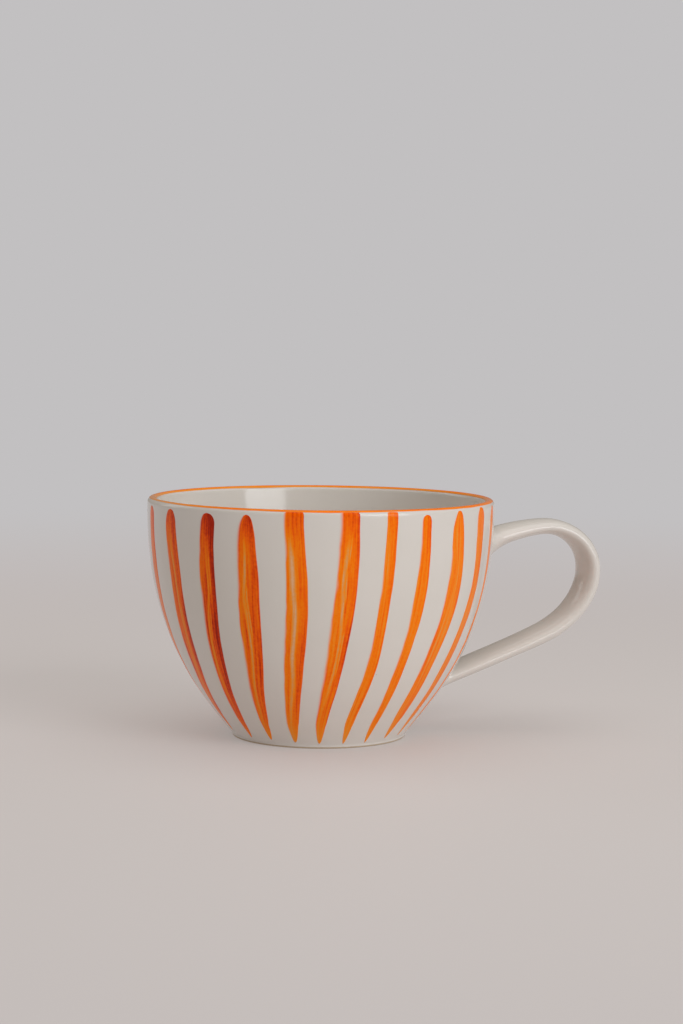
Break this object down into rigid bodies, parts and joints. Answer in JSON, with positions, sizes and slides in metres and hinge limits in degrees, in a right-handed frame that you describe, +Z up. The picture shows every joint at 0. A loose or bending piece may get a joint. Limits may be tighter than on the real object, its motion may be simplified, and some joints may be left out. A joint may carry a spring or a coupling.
{
  "type": "ceramic mug",
  "caption": "Wide cream-glazed ceramic mug with a rounded bowl, a foot ring, a strap handle and hand-painted vertical orange brush strokes.",
  "frame": {"origin": "on the table, under the middle of the whole mug's box, handle included; the bowl's own axis stands 20.7 mm towards -X from it", "axes": "+Z up, +X from the bowl towards the handle, and the mug is symmetric about the XZ plane"},
  "size_m": [0.1562, 0.1148, 0.0792],
  "materials": {
    "cream_glaze": "glossy cream glaze over fired clay",
    "orange_underglaze": "brushed orange underglaze under the same glossy glaze",
    "bare_foot": "unglazed, sponged fired clay on the foot ring"
  },
  "bodies": {
    "root": {"bowl": "cream_glaze", "handle": "cream_glaze", "upper_slip_fillet": "cream_glaze", "lower_slip_fillet": "cream_glaze"}
  },
  "joints": []
}
